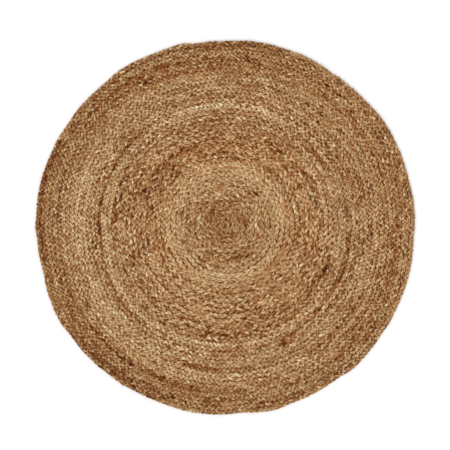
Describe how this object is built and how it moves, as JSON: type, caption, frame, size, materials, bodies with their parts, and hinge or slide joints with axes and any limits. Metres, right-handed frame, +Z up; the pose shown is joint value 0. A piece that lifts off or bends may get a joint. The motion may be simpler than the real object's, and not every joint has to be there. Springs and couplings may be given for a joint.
{
  "type": "round braided jute rug",
  "caption": "Round flat rug of natural jute braid wound in a spiral and sewn edge to edge, with a ribbed top, a softly uneven rim and a flat underside.",
  "frame": {"origin": "middle of the box round the outline, on the flat underside that lies on the floor", "axes": "+Z up, out of the walked-on side; +X and +Y lie in the rug, and the outer end of the braid is tucked in at about 226 degrees from +X, anticlockwise seen from above"},
  "size_m": [1.2004, 1.1902, 0.009],
  "materials": {
    "jute": "dry matt untwisted jute fibre, pale straw to red-brown, varying from hank to hank"
  },
  "bodies": {
    "root": {"rug": "jute"}
  },
  "joints": []
}
